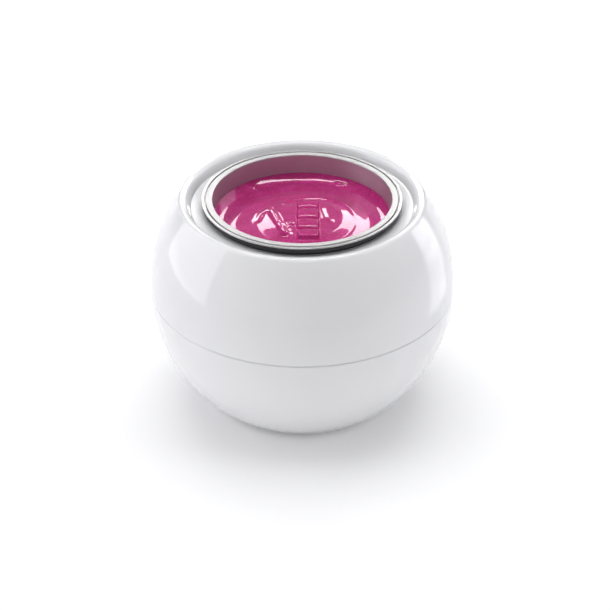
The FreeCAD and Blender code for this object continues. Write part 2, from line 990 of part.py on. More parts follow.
def sensor_lug():
    low = well_bottom - lug_thickness
    ring = disc(lug_radius, low, well_bottom)
    end = -barrel_start - barrel_length
    tongue = block(-barrel_start - barrel_length / 2, 0, -lug_width / 2, lug_width / 2, low, well_bottom)
    barrel = rod(barrel_radius, V(-barrel_start, 0, sensor_axis()), V(end, 0, sensor_axis()))
    lug = joined(ring, [tongue, barrel])
    return lug.cut(disc(stud_radius + hole_gap, low - overrun, well_bottom + overrun))


def sensor_nut():
    nut = hex_nut(nut_across, nut_height, stud_radius)
    return moved(nut, 0, 0, well_bottom - lug_thickness - nut_height)


def fuse_axis():
    return well_bottom - under_gap - fuse_radius


def fuse_leg_end():
    return fuse_axis() - fuse_leg_drop


def thermal_fuse():
    half = fuse_length / 2
    can = rod(fuse_radius, V(-half, -fuse_place, fuse_axis()), V(half, -fuse_place, fuse_axis()))
    legs = []
    for side in (-1, 1):
        route = [
            (side * (half - overrun), -fuse_place, fuse_axis()),
            (side * fuse_leg_reach, -fuse_place, fuse_axis()),
            (side * fuse_leg_reach, -fuse_place, fuse_leg_end()),
        ]
        legs.append(lead(route, fuse_leg_radius))
    return joined(can, legs)


def fuse_clip():
    inside = fuse_radius + under_gap
    outside = inside + clip_thickness
    half = clip_width / 2
    axis = fuse_axis()
    saddle = rod(outside, V(-half, -fuse_place, axis), V(half, -fuse_place, axis))
    walls = block(-half, half, -fuse_place - outside, -fuse_place + outside, axis, well_bottom)
    low = well_bottom - clip_thickness
    feet = block(-half, half, -fuse_place - clip_reach, -fuse_place + clip_reach, low, well_bottom)
    long = half + overrun
    hollow = rod(inside, V(-long, -fuse_place, axis), V(long, -fuse_place, axis))
    slot = block(-long, long, -fuse_place - inside, -fuse_place + inside, axis, well_bottom + overrun)
    return joined(saddle, [walls, feet]).cut([hollow, slot])


# Power board


def power_board():
    board = block(-board_half, board_half, -board_half, board_half, board_bottom, board_top)
    holes = []
    for x, y in board_places():
        holes.append(disc(small_screw_radius + hole_gap, board_bottom - overrun, board_top + overrun, x, y))
    return board.cut(holes)


def board_screws():
    one = screw(small_screw_radius, stand_bore, small_head_radius, small_head_height)
    one.rotate(V(0, 0, 0), V(1, 0, 0), 180)
    return Part.makeCompound([moved(one, x, y, board_top) for x, y in board_places()])


def rounded_part(size, place, rounding):
    part = standing_block(size, *place, board_top)
    upright = [edge for edge in part.Edges if edge.BoundBox.ZLength > tiny]
    return part.makeFillet(rounding, upright)


def relay():
    return rounded_part(relay_size, relay_place, relay_round)


def filter_capacitor():
    return rounded_part(capacitor_size, capacitor_place, capacitor_round)


def terminal_top():
    return board_top + terminal_size[2]


def terminal_places(side):
    """Two wire entries of the terminal block at the back (side 1) or the front (side -1)."""
    y = side * terminal_place
    return [(-terminal_pitch / 2, y), (terminal_pitch / 2, y)]


def terminal_blocks():
    blocks = []
    for side in (1, -1):
        part = standing_block(terminal_size, 0, side * terminal_place, board_top)
        floor = terminal_top() - terminal_bore_depth
        top = terminal_top() + overrun
        bores = [disc(terminal_bore, floor, top, x, y) for x, y in terminal_places(side)]
        blocks.append(part.cut(bores))
    return Part.makeCompound(blocks)


def connector_top():
    return board_top + connector_size[2]


def board_connectors():
    parts = []
    for place in (sensor_connector_place, button_connector_place):
        parts.append(standing_block(connector_size, *place, board_top))
    x, y = cable_socket_place
    width, length, height = cable_socket_size
    socket = block(
        x - width / 2,
        x + width / 2,
        y - length / 2,
        y + length / 2,
        button_board_back - height,
        button_board_back,
    )
    return Part.makeCompound(parts + [in_button_frame(socket)])


# Button, its light ring and its board


def power_button():
    top = button_proud + overrun
    cap = turned(
        [
            (0, stem_end, 0),
            (stem_radius, stem_end, 0),
            (stem_radius, -button_face, 0),
            (button_hollow, -button_face, 0),
            (button_hollow, button_flange_back, 0),
            (button_flange_radius, button_flange_back, 0),
            (button_flange_radius, button_flange_front, 0),
            (button_radius, button_flange_front, 0),
            (button_radius, top, 0),
            (0, top, 0),
        ]
    ).common(Part.makeSphere(body_radius + button_proud, V(0, 0, -body_radius)))
    edge_height = math.sqrt((body_radius + button_proud) ** 2 - button_radius**2) - body_radius
    cap = cap.makeFillet(button_edge, circles_at(cap, button_radius, edge_height))
    return in_button_frame(cap)


def light_ring():
    ring = turned(
        [
            (ring_inner, ring_back, 0),
            (ring_flange, ring_back, 0),
            (ring_flange, -ring_seat, 0),
            (ring_outer, -ring_seat, 0),
            (ring_outer, overrun, 0),
            (ring_inner, overrun, 0),
        ]
    )
    return in_button_frame(ring.common(Part.makeSphere(body_radius + ring_proud, V(0, 0, -body_radius))))


def button_board():
    board = block(
        -button_board_half,
        button_board_half,
        -button_board_up,
        button_board_down,
        button_board_back,
        button_board_top,
    )
    holes = []
    for side in (-pillar_place, pillar_place):
        holes.append(
            disc(
                small_screw_radius + hole_gap,
                button_board_back - overrun,
                button_board_top + overrun,
                side,
            )
        )
    return in_button_frame(board.cut(holes))


def button_screws():
    length = board_thickness + pillar_bore - overrun
    one = screw(small_screw_radius, length, small_head_radius, small_head_height)
    places = (-pillar_place, pillar_place)
    return Part.makeCompound([in_button_frame(moved(one, x, 0, button_board_back)) for x in places])


def tact_switch():
    case = standing_block((switch_side, switch_side, switch_height), 0, 0, button_board_top)
    bore = disc(plunger_radius + plunger_gap, switch_top - plunger_well, switch_top + overrun)
    return in_button_frame(case.cut(bore))


def switch_plunger():
    return in_button_frame(disc(plunger_radius, switch_top - plunger_inside, stem_end))


def indicator_leds():
    leds = []
    for side in (-led_place, led_place):
        top = button_board_top + led_height
        body = disc(led_radius, button_board_top, top, side)
        leds.append(in_button_frame(joined(body, [Part.makeSphere(led_radius, V(side, 0, top))])))
    return Part.makeCompound(leds)


# Mains inlet


def figure_eight(y_low, y_high):
    """Two round lobes joined by a narrower waist."""
    middle = cavity_waist / 2
    lobes = [
        rod(cavity_radius, V(x, y_low, inlet_height), V(x, y_high, inlet_height)) for x in (-middle, middle)
    ]
    waist = block(-middle, middle, y_low, y_high, inlet_height - middle, inlet_height + middle)
    return joined(waist, lobes)


def latch(side):
    """Snap ramp behind the pocket's floor, above or below the body."""
    face = inlet_height + side * inlet_body_height / 2
    back = pocket_floor - wall - latch_gap
    corners = [
        V(-latch_width / 2, back, face),
        V(-latch_width / 2, back, face + side * latch_rise),
        V(-latch_width / 2, back - latch_length, face),
    ]
    return Part.Face(Part.makePolygon(corners + corners[:1])).extrude(V(latch_width, 0, 0))


def inlet_socket():
    flange = upright_plate(
        inlet_flange_width,
        inlet_flange_height,
        inlet_flange_corner,
        pocket_floor,
        inlet_front,
        inlet_height,
    )
    body = upright_plate(
        inlet_body_width,
        inlet_body_height,
        inlet_body_corner,
        inlet_back,
        pocket_floor,
        inlet_height,
    )
    socket = joined(flange, [body, latch(1), latch(-1)])
    bores = []
    for x in (-pin_pitch / 2, pin_pitch / 2):
        start = V(x, inlet_back - overrun, inlet_height)
        bores.append(rod(pin_radius + pin_fit, start, V(x, cavity_floor + overrun, inlet_height)))
    return socket.cut([figure_eight(cavity_floor, inlet_front + overrun)] + bores)


def inlet_pins():
    pins = []
    for x in (-pin_pitch / 2, pin_pitch / 2):
        tip = cavity_floor + pin_show - pin_radius
        shank = rod(pin_radius, V(x, pin_end, inlet_height), V(x, tip, inlet_height))
        pins.append(joined(shank, [Part.makeSphere(pin_radius, V(x, tip, inlet_height))]))
    return Part.makeCompound(pins)


# Leads inside the casing


def mains_leads():
    leads = []
    for pin_x, (x, y) in zip((-pin_pitch / 2, pin_pitch / 2), terminal_places(1)):
        route = [
            (pin_x, pin_end, inlet_height),
            (pin_x, pin_end - lead_straight, inlet_height),
            (x, y, inlet_height),
            (x, y, terminal_top() - terminal_bore_depth),
        ]
        leads.append(lead(route, lead_radius))
    return Part.makeCompound(leads)


def band_lead_place(angle_deg):
    middle = (band_inside(band_low) + band_outside(band_low)) / 2
    angle = math.radians(angle_deg)
    return (middle * math.sin(angle), -middle * math.cos(angle))


def heater_leads():
    """One lead straight to the heater, one to the cut-out, and one from the cut-out to the heater."""
    (left_x, left_y), (right_x, right_y) = terminal_places(-1)
    terminal = terminal_top() - terminal_bore_depth
    turn_height = (terminal_top() + tube_top) / 2
    near_x, near_y = band_lead_place(band_lead_angles_deg[0])
    far_x, far_y = band_lead_place(band_lead_angles_deg[1])
    direct = [
        (right_x, right_y, terminal),
        (right_x, right_y, turn_height),
        (near_x, near_y, tube_top),
        (near_x, near_y, band_low),
    ]
    to_fuse = [
        (left_x, left_y, terminal),
        (left_x, left_y, turn_height),
        (-fuse_leg_reach, -fuse_place, tube_top),
        (-fuse_leg_reach, -fuse_place, fuse_leg_end()),
    ]
    from_fuse = [
        (fuse_leg_reach, -fuse_place, fuse_leg_end()),
        (fuse_leg_reach, -fuse_place, tube_top),
        (far_x, far_y, tube_top),
        (far_x, far_y, band_low),
    ]
    return Part.makeCompound([lead(route, band_lead_radius) for route in (direct, to_fuse, from_fuse)])


def sensor_lead():
    end = barrel_start + barrel_length
    x, y = sensor_connector_place
    turn_height = (connector_top() + tube_top) / 2
    out = -end - barrel_length
    route = [
        (-end, 0, sensor_axis()),
        (out, 0, sensor_axis()),
        (out, y, turn_height),
        (x, y, turn_height),
        (x, y, connector_top()),
    ]
    return lead(route, sensor_lead_radius)


def button_cable():
    x, y = cable_socket_place
    length, height = cable_socket_size[1:]
    face = y + length / 2
    start = button_frame.multVec(V(x, face, button_board_back - height / 2))
    clear = button_frame.multVec(V(x, face + lead_straight, button_board_back - height / 2))
    end_x, end_y = button_connector_place
    turn_height = (connector_top() + plate_bottom) / 2
    shield_back = math.sqrt(shield_outer**2 - x**2)
    past_shield = (shield_back + pocket_floor - wall) / 2
    route = [
        tuple(start),
        tuple(clear),
        (x, past_shield, plate_top),
        ((x + end_x) / 2, (past_shield + end_y) / 2, turn_height),
        (end_x, end_y, turn_height),
        (end_x, end_y, connector_top()),
    ]
    return lead(route, cable_radius)


PIECES = (
    upper_shell,
    lower_shell,
    seal_ring,
    heating_well,
    wax_pot,
    wax_fill,
    heater_band,
    band_clamp,
    clamp_screw,
    clamp_nut,
    heat_shield,
    chassis_plate,
    chassis_screws,
    stud_washer,
    stud_nut,
    sensor_lug,
    sensor_nut,
    thermal_fuse,
    fuse_clip,
    power_board,
    relay,
    filter_capacitor,
    terminal_blocks,
    board_connectors,
    board_screws,
    power_button,
    light_ring,
    button_board,
    tact_switch,
    switch_plunger,
    indicator_leds,
    button_screws,
    inlet_socket,
    inlet_pins,
    mains_leads,
    heater_leads,
    sensor_lead,
    button_cable,
    rubber_feet,
    base_screws,
)


def main():
    os.makedirs("parts", exist_ok=True)
    for piece in PIECES:
        shape = piece()
        name = piece.__name__
        shape.exportStep(f"parts/{name}.step")
        print(f"{name}: {len(shape.Solids)} solids, {shape.Volume:.2f} mm3, valid {shape.isValid()}")


main()
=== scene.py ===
"""Wax warmer: a glossy white ball-shaped casing round a lift-out metal pot of pearl wax.

Laid out as an add-on and run as a script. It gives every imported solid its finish, models the surface of
the wax and the mark on the button, and sets the stage. Metres, +Z up, front towards -Y.
"""

import json
import math
from typing import NamedTuple

import bmesh
import bpy
from bpy.props import FloatProperty, FloatVectorProperty, IntProperty, PointerProperty
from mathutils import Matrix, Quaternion, Vector, noise


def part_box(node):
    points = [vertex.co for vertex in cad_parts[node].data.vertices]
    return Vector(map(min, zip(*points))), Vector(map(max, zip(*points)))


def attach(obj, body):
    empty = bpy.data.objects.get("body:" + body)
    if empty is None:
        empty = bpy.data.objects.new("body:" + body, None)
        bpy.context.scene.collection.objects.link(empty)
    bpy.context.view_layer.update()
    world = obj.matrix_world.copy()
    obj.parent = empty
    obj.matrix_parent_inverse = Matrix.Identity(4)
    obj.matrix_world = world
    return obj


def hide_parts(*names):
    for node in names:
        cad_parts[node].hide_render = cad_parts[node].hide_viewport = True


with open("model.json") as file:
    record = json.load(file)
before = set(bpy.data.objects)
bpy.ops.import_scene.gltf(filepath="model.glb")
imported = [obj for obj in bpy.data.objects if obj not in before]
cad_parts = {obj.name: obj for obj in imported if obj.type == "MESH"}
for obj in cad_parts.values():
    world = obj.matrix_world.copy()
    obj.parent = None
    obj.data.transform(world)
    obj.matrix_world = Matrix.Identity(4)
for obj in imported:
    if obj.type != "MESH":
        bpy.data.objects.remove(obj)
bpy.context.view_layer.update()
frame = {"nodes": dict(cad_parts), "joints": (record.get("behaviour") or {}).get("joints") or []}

bl_info = {
    "name": "Wax warmer",
    "version": (1, 0, 0),
    "blender": (4, 5, 0),
    "location": "3D View > Sidebar > Wax warmer",
    "description": "Finishes, wax surface and stage for a ball-shaped wax warmer",
    "category": "Object",
}

MM = 0.001
FRAME_PIXELS = 610
SENSOR_WIDTH = 36.0
CLIP_START = 10 * MM


def colour(name, description, default):
    return FloatVectorProperty(
        name=name, description=description, subtype="COLOR", size=3, min=0, max=1, default=default
    )


def length(name, description, default):
    return FloatProperty(name=name, description=description, unit="LENGTH", precision=5, default=default)


def share(name, description, default):
    return FloatProperty(name=name, description=description, subtype="FACTOR", min=0, max=1, default=default)


def angle(name, description, degrees):
    return FloatProperty(name=name, description=description, subtype="ANGLE", default=math.radians(degrees))


def number(name, description, default):
    return FloatProperty(name=name, description=description, default=default)


class WarmerFinishes(bpy.types.PropertyGroup):
    """Colours and finishes of the casing, the metal and the small parts."""

    casing: colour("Casing", "Moulded white of both halves", (0.83, 0.83, 0.845))
    casing_roughness: share("Casing roughness", "Roughness of the polished mould", 0.09)
    peel: length("Casing peel", "Height of the faint waves left by the mould", 2.5e-6)
    tongue: length("Tongue", "From the seam up to the top of the lower half's tongue", 2.0 * MM)
    metal: colour("Metal", "Bare aluminium of pot and well", (0.55, 0.54, 0.54))
    metal_roughness: share("Metal roughness", "Roughness between the turning marks", 0.4)
    turning: length("Turning marks", "Height of the fine rings left by turning", 2e-7)
    # The seal's black is partly the silicone's own colour and partly painted shade for the dark gap under
    # the well's lip.
    seal: colour("Seal", "Black silicone of the seal and rubber of the feet", (0.012, 0.012, 0.013))
    mark: colour("Button mark", "Grey paint of the power mark", (0.2, 0.2, 0.215))
    glow: colour("Ring glow", "Light of the ring round the button", (1.0, 0.75, 0.86))
    glow_strength: share("Glow strength", "Strength of the ring's light", 0.35)


class WarmerWax(bpy.types.PropertyGroup):
    """Colours and surface of the wax."""

    deep: colour("Deep", "Clear wax between the pearl", (0.41, 0.006, 0.135))
    pearl: colour("Pearl", "Wax where the pearl pigment gathers", (0.54, 0.025, 0.22))
    flake: colour("Flakes", "Single flakes of mica", (0.9, 0.35, 0.6))
    flake_size: length("Flake size", "Width of a flake", 0.22 * MM)
    meniscus: length("Meniscus", "Rise of the wax at the pot's wall", 2.2 * MM)
    meniscus_width: length("Meniscus width", "How far from the wall the wax begins to rise", 5.7 * MM)
    wax_drop: length("Wax drop", "From the pot's rim down to the wax at the wall", 7.9 * MM)
    pool_radius: length("Pool", "Radius of the last pour that is still spreading", 25.3 * MM)
    pool_rise: length("Pool rise", "Height of the pour's edge", 0.7 * MM)
    mound_radius: length("Mound", "Radius of the mound that the pour heaps up", 19.2 * MM)
    mound_rise: length("Mound rise", "Height of the mound", 0.75 * MM)
    crest_rise: length("Crest", "Height of the fold round the mound", 0.75 * MM)
    pleat_rise: length("Pleats", "Height of the folded ribbon in the middle", 1.3 * MM)
    rings: IntProperty(name="Rings", description="Rings of the wax mesh", default=150, min=16)
    spokes: IntProperty(name="Spokes", description="Points round each ring", default=300, min=32)


class WarmerStage(bpy.types.PropertyGroup):
    """Camera, lamps and floor."""

    camera_azimuth: angle("Camera azimuth", "Turn of the camera to the right of the front", 21.0)
    camera_elevation: angle("Camera elevation", "Height of the camera above the horizon", 32.3)
    camera_distance: length("Camera distance", "From the middle of the ball", 600 * MM)
    ball_height: length("Ball height", "Middle of the ball above the floor", 47.9 * MM)
    focal_pixels: number("Focal length", "In pixels of the picture", 1512)
    look_right: number("Look right", "Middle of the picture from the ball, in pixels", 2.69)
    look_down: number("Look down", "Middle of the picture from the ball, in pixels", 24.72)
    top_light: number("Top soft box", "Radiance, for light only", 2.9)
    front_light: number("Front soft box", "Radiance, for light only", 1.05)
    left_light: number("Left soft box", "Radiance, for light only", 1.8)
    right_light: number("Right soft box", "Radiance, for light only", 3.1)
    back_light: number("Back card", "Radiance of the narrow card high behind, for gloss only", 14.0)
    card_light: number("Cards", "Radiance of the two cards behind, for gloss only", 8.0)
    panel_light: number("Left panel", "Radiance of the panel at the left, for gloss only", 1.4)
    glow_light: number("Glow card", "Radiance of the card behind at the right, for gloss only", 1.5)
    side_light: number("Side card", "Radiance of the card close at the right, for gloss only", 0.95)
    upper_light: number("Side card, upper half", "Radiance added there", 0.9)
    corner_light: number("Side card, top", "Radiance added there", 1.0)
    fill_dark: number("Fill behind", "Plain light from the far side", 0.08)
    fill_bright: number("Fill in front", "Plain light from behind the camera", 1.0)
    floor: colour("Floor", "Pale floor", (0.94, 0.94, 0.945))
    floor_lift: share("Floor lift", "White added where the floor is looked at", 0.13)


class Value:
    """A shader socket that takes part in Python sums. Each sum adds a Math node."""

    def __init__(self, finish, socket):
        self.finish = finish
        self.socket = socket

    def sum(self, operation, first, second=0.0):
        return self.finish.node("ShaderNodeMath", {"operation": operation}, {0: first, 1: second})

    def __add__(self, other):
        return self.sum("ADD", self, other)

    def __radd__(self, other):
        return self.sum("ADD", other, self)

    def __sub__(self, other):
        return self.sum("SUBTRACT", self, other)

    def __rsub__(self, other):
        return self.sum("SUBTRACT", other, self)

    def __mul__(self, other):
        return self.sum("MULTIPLY", self, other)

    def __rmul__(self, other):
        return self.sum("MULTIPLY", other, self)

    def __pow__(self, other):
        return self.sum("POWER", self, other)

    def __gt__(self, other):
        return self.sum("GREATER_THAN", self, other)

    def __lt__(self, other):
        return self.sum("LESS_THAN", self, other)

    def __abs__(self):
        return self.sum("ABSOLUTE", self)


class Finish:
    """One procedural material, built node by node round a Principled shader."""

    def __init__(self, name, constants, tree=None, shader="Principled BSDF"):
        if tree is None:
            self.material = bpy.data.materials.new(name)
            self.material.use_nodes = True
            tree = self.material.node_tree
        self.tree = tree
        self.shader = self.tree.nodes[shader]
        for socket, value in constants.items():
            self.feed(self.shader.inputs[socket], value)
        self.place = self.node("ShaderNodeTexCoord", output="Object")

    def feed(self, socket, value):
        if isinstance(value, Value):
            self.tree.links.new(value.socket, socket)
        else:
            socket.default_value = value

    def node(self, kind, settings=None, sockets=None, output=0):
        made = self.tree.nodes.new(kind)
        for name, value in (settings or {}).items():
            setattr(made, name, value)
        for name, value in (sockets or {}).items():
            self.feed(made.inputs[name], value)
        return Value(self, made.outputs[output])

    def noise(self, size, detail=2.0, roughness=0.5, distortion=0.0, place=None):
        """Soft noise from 0 to 1 with lumps of a given size in metres."""
        sockets = {
            "Vector": place or self.place,
            "Scale": 1 / size,
            "Detail": detail,
            "Roughness": roughness,
            "Distortion": distortion,
        }
        return self.node("ShaderNodeTexNoise", None, sockets, "Fac")

    def cells(self, size, output="Color"):
        """Cells of a given size in metres: a random grey for each, or the distance to its middle."""
        sockets = {"Vector": self.place, "Scale": 1 / size}
        found = self.node("ShaderNodeTexVoronoi", None, sockets, output)
        if output != "Color":
            return found
        return self.node("ShaderNodeSeparateColor", None, {0: found}, "Red")

    def axes(self):
        split = self.node("ShaderNodeSeparateXYZ", None, {0: self.place})
        return [Value(self, socket) for socket in split.socket.node.outputs]

    def combined(self, x, y, z):
        return self.node("ShaderNodeCombineXYZ", None, {0: x, 1: y, 2: z})

    def blend(self, factor, first, second):
        """Colour between two, by a factor from 0 to 1."""
        tones = [tone if isinstance(tone, Value) else (*tone, 1.0) for tone in (first, second)]
        return self.node("ShaderNodeMix", {"data_type": "RGBA"}, {0: factor, 6: tones[0], 7: tones[1]}, 2)

    def limited(self, value, low, high):
        """Value moved from the range low to high to the range 0 to 1, and held there."""
        return self.node("ShaderNodeMapRange", {"clamp": True}, {0: value, 1: low, 2: high}, 0)

    def set(self, socket, value):
        self.feed(self.shader.inputs[socket], value)

    def raised(self, height, depth):
        """Bump of a given depth in metres from a height between 0 and 1."""
        self.set("Normal", self.node("ShaderNodeBump", None, {"Height": height, "Distance": depth}))


def shade(tone, factor):
    return tuple(min(max(part * factor, 0.0), 1.0) for part in tone)


def dress(finish, *names):
    """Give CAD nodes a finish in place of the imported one."""
    for name in names:
        mesh = frame["nodes"][name].data
        mesh.materials.clear()
        mesh.materials.append(finish.material)


def moulded(name, tone, roughness, grain, depth, constants=None):
    """Moulded plastic or rubber: uneven gloss, a faint drift of colour and the grain of the mould."""
    finish = Finish(name, constants or {})
    drift = finish.noise(9 * MM, detail=3.0)
    finish.set("Base Color", finish.blend(drift, shade(tone, 0.93), shade(tone, 1.06)))
    wiped = finish.noise(2.2 * MM, detail=4.0, roughness=0.6)
    finish.set("Roughness", roughness * (0.75 + 0.5 * wiped))
    finish.raised(finish.noise(grain), depth)
    return finish


def sheet_metal(name, tone, roughness, spangle):
    """Plated sheet: crystals that catch the light differently, with fine rolling lines."""
    finish = Finish(name, {"Metallic": 1.0})
    crystal = finish.cells(spangle)
    x, y, z = finish.axes()
    rolled = finish.noise(0.35 * MM, detail=3.0, place=finish.combined(x * 0.06, y, z))
    finish.set("Base Color", finish.blend(crystal, shade(tone, 0.86), shade(tone, 1.08)))
    finish.set("Roughness", roughness + 0.1 * crystal + 0.12 * rolled)
    finish.raised(rolled, 3e-6)
    return finish


def insulation(name, tone):
    """Silicone sleeve of a lead: matt, with a chalky bloom."""
    finish = Finish(name, {"Sheen Weight": 0.25, "Sheen Roughness": 0.4})
    bloom = finish.noise(1.4 * MM, detail=4.0, roughness=0.6)
    finish.set("Base Color", finish.blend(bloom, shade(tone, 0.85), shade(tone, 1.15)))
    finish.set("Roughness", 0.42 + 0.2 * bloom)
    finish.raised(finish.noise(0.25 * MM), 6e-6)
    return finish


def turned_metal(name, tone, roughness, marks):
    """Satin aluminium turned on a lathe, with soft handling marks.

    Fine rings round the axis show in gloss and in relief.
    """
    finish = Finish(name, {"Metallic": 0.8})
    x, y, z = finish.axes()
    radius = (x * x + y * y) ** 0.5
    across = finish.combined(radius, z, 0.0)
    fine = finish.noise(0.09 * MM, place=across)
    broad = finish.noise(0.55 * MM, detail=3.0, place=across)
    handled = finish.noise(6 * MM, detail=4.0, roughness=0.6)
    mottle = 0.6 * broad + 0.4 * handled
    finish.set("Base Color", finish.blend(mottle, shade(tone, 0.93), shade(tone, 1.05)))
    finish.set("Roughness", roughness * (0.88 + 0.04 * fine + 0.08 * broad + 0.15 * handled))
    finish.raised(0.3 * fine + 0.7 * broad, marks)
    return finish


def circuit_board(name):
    """Green solder resist over copper: square tracks and plated pads show through."""
    finish = Finish(name, {"Coat Weight": 0.4, "Coat Roughness": 0.2})
    weave = finish.noise(0.4 * MM)
    sockets = {
        "Vector": finish.place,
        "Scale": 190.0,
        "Mortar Size": 0.05,
        "Color1": (0, 0, 0, 1),
        "Color2": (0, 0, 0, 1),
        "Mortar": (1, 1, 1, 1),
    }
    blocks = finish.node("ShaderNodeTexBrick", {"offset": 0.35, "squash": 1.6}, sockets, "Fac")
    pads = finish.cells(3.4 * MM, "Distance") < 0.14
    resist = finish.blend(blocks, (0.012, 0.105, 0.04), (0.03, 0.2, 0.075))
    finish.set("Base Color", finish.blend(pads, resist, (0.75, 0.72, 0.66)))
    finish.set("Metallic", 0.9 * pads)
    finish.set("Roughness", 0.32 + 0.1 * weave)
    finish.raised(0.7 * blocks + 0.3 * weave, 2e-5)
    return finish


class WARMER_OT_casing(bpy.types.Operator):
    """Finish both halves of the casing in glossy white"""

    bl_idname = "warmer.casing"
    bl_label = "Casing"

    def execute(self, context):
        look = context.scene.warmer_finishes
        white = tuple(look.casing)
        finish = Finish("casing_gloss", {"IOR": 1.5, "Coat Roughness": 0.03, "Coat IOR": 1.45})
        drift = finish.noise(35 * MM, detail=3.0)
        z = finish.axes()[2]
        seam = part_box("lower_shell")[1].z - look.tongue
        # Darker and rougher in patches along the seam: painted shade in the crease between the two halves,
        # with some dust settled there.
        near_seam = 1 - finish.limited(abs(z - seam), 0.1 * MM, 0.9 * MM)
        seam_dust_and_shade = near_seam * finish.noise(3 * MM, detail=3.0)
        plain = finish.blend(drift, shade(white, 0.985), shade(white, 1.012))
        # The seam's painted shade, with its dust, darkens the white here.
        finish.set("Base Color", finish.blend(0.18 * seam_dust_and_shade, plain, shade(white, 0.62)))
        wiped = finish.noise(14 * MM, detail=5.0, roughness=0.62, distortion=0.8)
        smudge = finish.limited(wiped, 0.52, 0.75)
        finish.set("Roughness", look.casing_roughness * (0.8 + 0.7 * smudge) + 0.1 * seam_dust_and_shade)
        finish.set("Coat Weight", 0.4 - 0.15 * smudge)
        finish.raised(finish.noise(1.6 * MM), look.peel)
        dress(finish, "upper_shell", "lower_shell")
        return {"FINISHED"}


class WARMER_OT_metalware(bpy.types.Operator):
    """Finish the lift-out pot and the heated well as turned aluminium"""

    bl_idname = "warmer.metalware"
    bl_label = "Pot and well"

    def execute(self, context):
        look = context.scene.warmer_finishes
        tone = tuple(look.metal)
        pot = turned_metal("pot_brushed", tone, look.metal_roughness, look.turning)
        smoother = 0.75 * look.metal_roughness
        well = turned_metal("well_turned", shade(tone, 1.04), smoother, look.turning)
        dress(pot, "wax_pot")
        dress(well, "heating_well")
        return {"FINISHED"}


# Lobes round the edge of a spreading pool, their share of its waves and where they start, in radians
EDGE_WAVES = ((2, 1.0, 0.6), (3, 0.5, -1.1))


def soft_step(value, low, high):
    part = min(max((value - low) / (high - low), 0.0), 1.0)
    return part * part * (3 - 2 * part)


def bell(value, width):
    return math.exp(-((value / width) ** 2))


def inside_edge(u, v, centre, radius, wave):
    """How far a place lies inside the wavy edge of a spreading pool."""
    du = u - centre[0]
    dv = v - centre[1]
    turn = math.atan2(dv, du)
    waves = sum(part * math.sin(lobes * turn + start) for lobes, part, start in EDGE_WAVES)
    return radius * (1 + wave * waves) - math.hypot(du, dv)


def from_line(u, v, start, end):
    """Distance from a place to a straight line between two others."""
    along = Vector(end) - Vector(start)
    reach = Vector((u, v)) - Vector(start)
    part = min(max(reach.dot(along) / along.length_squared, 0.0), 1.0)
    return (reach - along * part).length


